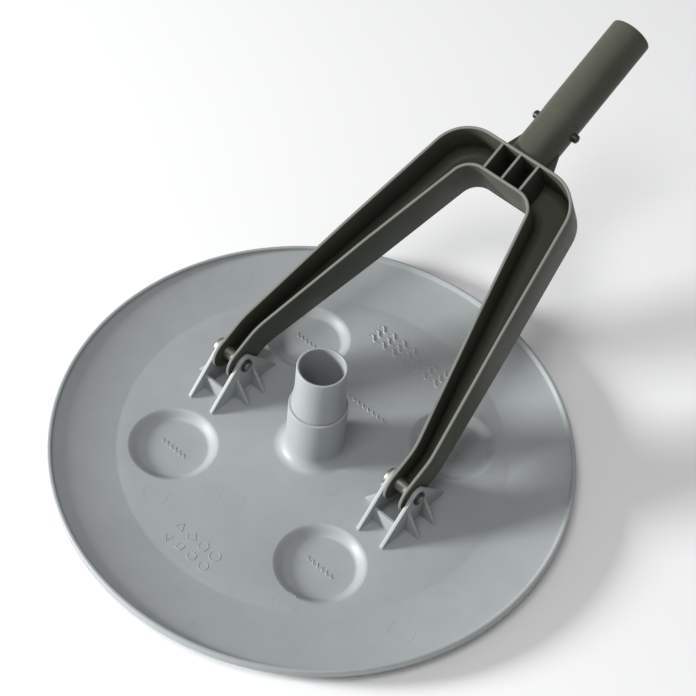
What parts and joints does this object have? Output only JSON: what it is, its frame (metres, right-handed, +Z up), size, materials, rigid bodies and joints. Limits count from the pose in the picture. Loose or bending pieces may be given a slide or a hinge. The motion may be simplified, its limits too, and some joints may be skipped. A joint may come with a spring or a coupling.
{
  "type": "pool suction cleaner head",
  "caption": "Round suction disc for vacuuming a pool floor, with a swivelling hose tail and a tilting fork that carries the push-button tube for a telescopic pole.",
  "frame": {"origin": "on the hose axis, level with the top face of the disc's flat middle, inside the hose tail's bore", "axes": "+Z up along the hose axis, +X along the fork's pivot axis, +Y the way the fork leans at rest"},
  "size_m": [0.34, 0.4693, 0.1952],
  "materials": {
    "disc_plastic": "satin light grey",
    "fork_plastic": "satin charcoal",
    "pin_steel": "turned",
    "black_plastic": "matte black",
    "seal_rubber": "matte",
    "spring_steel": "rolled strip",
    "button_plastic": "dark, slightly glossy"
  },
  "bodies": {
    "disc": {"suction_disc": "disc_plastic", "tail_seal": "seal_rubber", "pivot_pin_left": "pin_steel", "pivot_pin_right": "pin_steel", "pin_ring_left": "black_plastic", "pin_ring_right": "black_plastic"},
    "tail": {"hose_tail": "disc_plastic", "tail_clip_ring": "disc_plastic"},
    "fork_and_tube": {"fork": "fork_plastic", "button_spring": "spring_steel"},
    "button_left": {"snap_button_left": "button_plastic"},
    "button_right": {"snap_button_right": "button_plastic"}
  },
  "joints": [
    {"name": "fork_tilt", "type": "hinge", "parent": "disc", "child": "fork_and_tube", "pos_m": [0, 0, 0.0257], "axis": [1, 0, 0], "range_deg": [-26, 152]},
    {"name": "tail_swivel", "type": "hinge", "parent": "disc", "child": "tail", "pos_m": [0, 0, 0], "axis": [0, 0, 1], "continuous": true},
    {"name": "left_button_press", "type": "slide", "parent": "fork_and_tube", "child": "button_left", "axis": [1, 0, 0], "range_m": [0, 0.004], "stiffness_N_per_m": 600, "springref_m": -0.003, "deforming": ["button_spring"]},
    {"name": "right_button_press", "type": "slide", "parent": "fork_and_tube", "child": "button_right", "axis": [-1, 0, 0], "range_m": [0, 0.004], "stiffness_N_per_m": 600, "springref_m": -0.003, "deforming": ["button_spring"]}
  ]
}
